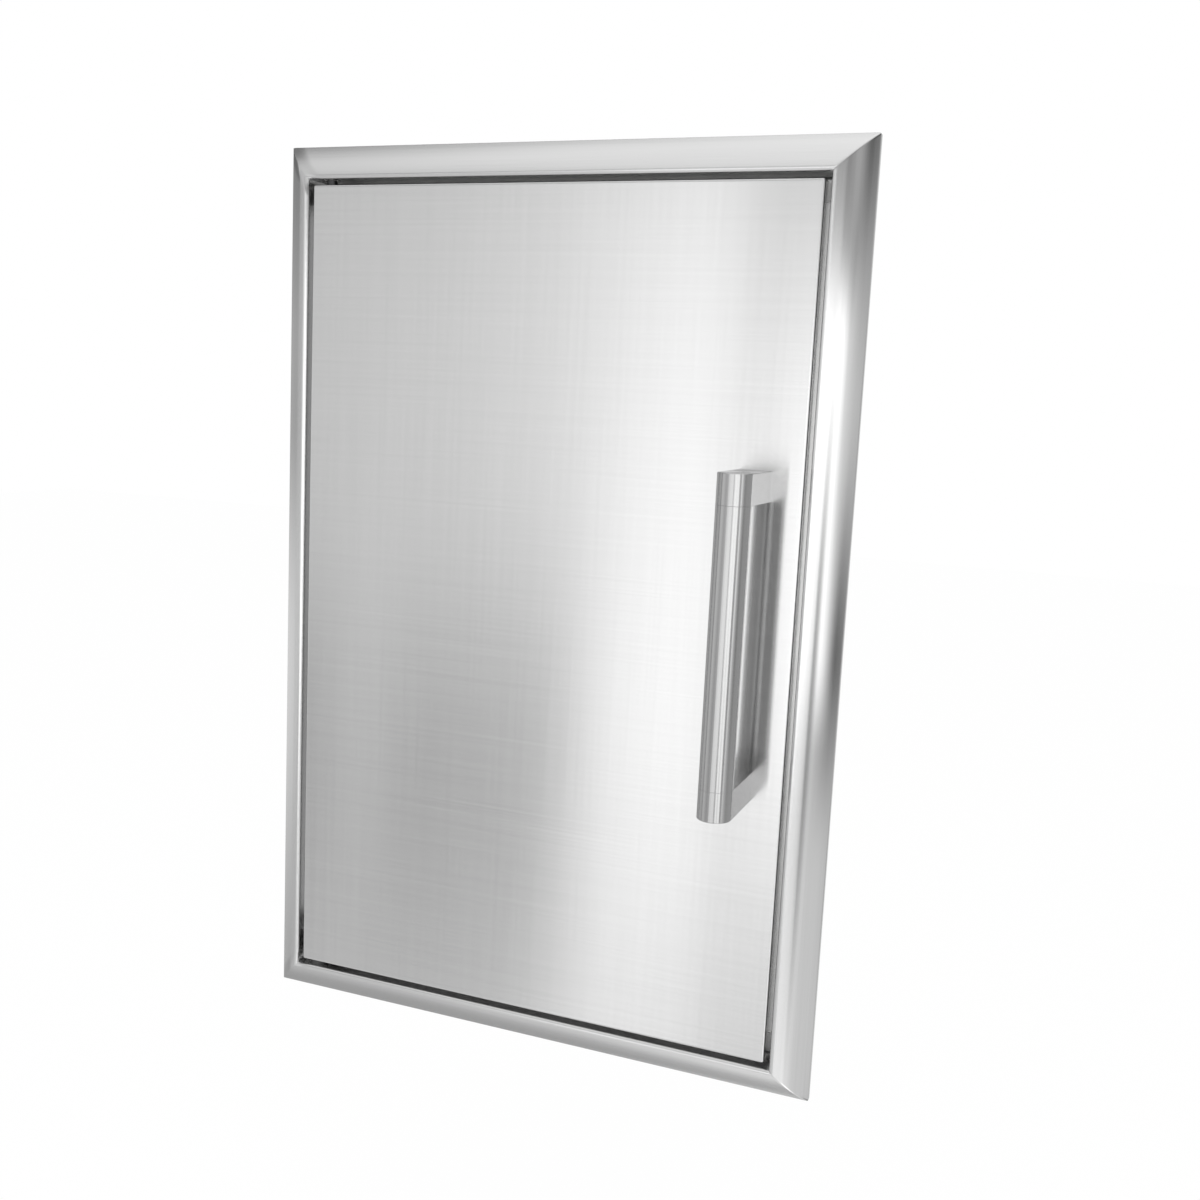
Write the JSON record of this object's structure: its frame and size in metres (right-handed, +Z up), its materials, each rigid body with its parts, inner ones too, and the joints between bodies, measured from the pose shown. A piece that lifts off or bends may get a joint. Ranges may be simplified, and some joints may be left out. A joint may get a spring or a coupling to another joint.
{
  "type": "access door",
  "caption": "Access door for an outdoor kitchen island: an inset steel door with a round bar handle in a bevelled, mitred trim frame.",
  "frame": {"origin": "centre of the trim frame, on the plane of the island's wall that its lip lies on", "axes": "+X to the right as seen from in front, +Y into the wall, +Z up"},
  "size_m": [0.4064, 0.1196, 0.6096],
  "materials": {
    "trim_steel": "brushed along each member",
    "door_steel": "brushed across the door",
    "handle_steel": "fine satin",
    "inner_steel": "dull mill finish",
    "pin_steel": "turned and blackened",
    "fastener_steel": "plain",
    "nylon": "natural, matte",
    "washer_plastic": "black, matte",
    "catch_plastic": "fine moulded grain",
    "magnet": "sintered, dull",
    "bumper_rubber": "matte"
  },
  "bodies": {
    "frame": {"frame_top_rail": "trim_steel", "frame_bottom_rail": "trim_steel", "frame_left_stile": "trim_steel", "frame_right_stile": "trim_steel", "door_stop_top": "inner_steel", "door_stop_bottom": "inner_steel", "door_stop_right": "inner_steel", "upper_pivot_bush": "nylon", "lower_pivot_bush": "nylon", "upper_pivot_doubler": "inner_steel", "lower_pivot_doubler": "inner_steel", "lower_thrust_washer": "washer_plastic", "catch_housing": "catch_plastic", "catch_magnet": "magnet", "catch_poles": "inner_steel", "catch_screws": "fastener_steel", "door_bumpers": "bumper_rubber"},
    "door": {"door_outer_skin": "door_steel", "door_inner_liner": "inner_steel", "handle_bar": "handle_steel", "handle_end_upper": "handle_steel", "handle_end_lower": "handle_steel", "handle_backing_plate": "inner_steel", "handle_screws": "fastener_steel", "liner_hole_plugs": "nylon", "upper_pin_bracket": "inner_steel", "upper_pin_spring": "pin_steel", "lower_pin_bracket": "inner_steel", "lower_pivot_pin": "pin_steel", "strike_plate": "inner_steel", "strike_rivets": "fastener_steel"},
    "upper_pin": {"upper_pivot_pin": "pin_steel", "upper_pin_collar": "pin_steel", "upper_pin_tab": "pin_steel"}
  },
  "joints": [
    {"name": "door_swing", "type": "hinge", "parent": "frame", "child": "door", "pos_m": [-0.1656, -0.0122, 0], "axis": [0, 0, -1], "range_deg": [0, 110]},
    {"name": "upper_pin_slide", "type": "slide", "parent": "door", "child": "upper_pin", "axis": [0, 0, -1], "range_m": [0, 0.009], "stiffness_N_per_m": 400, "springref_m": -0.01, "deforming": ["upper_pin_spring"]}
  ]
}
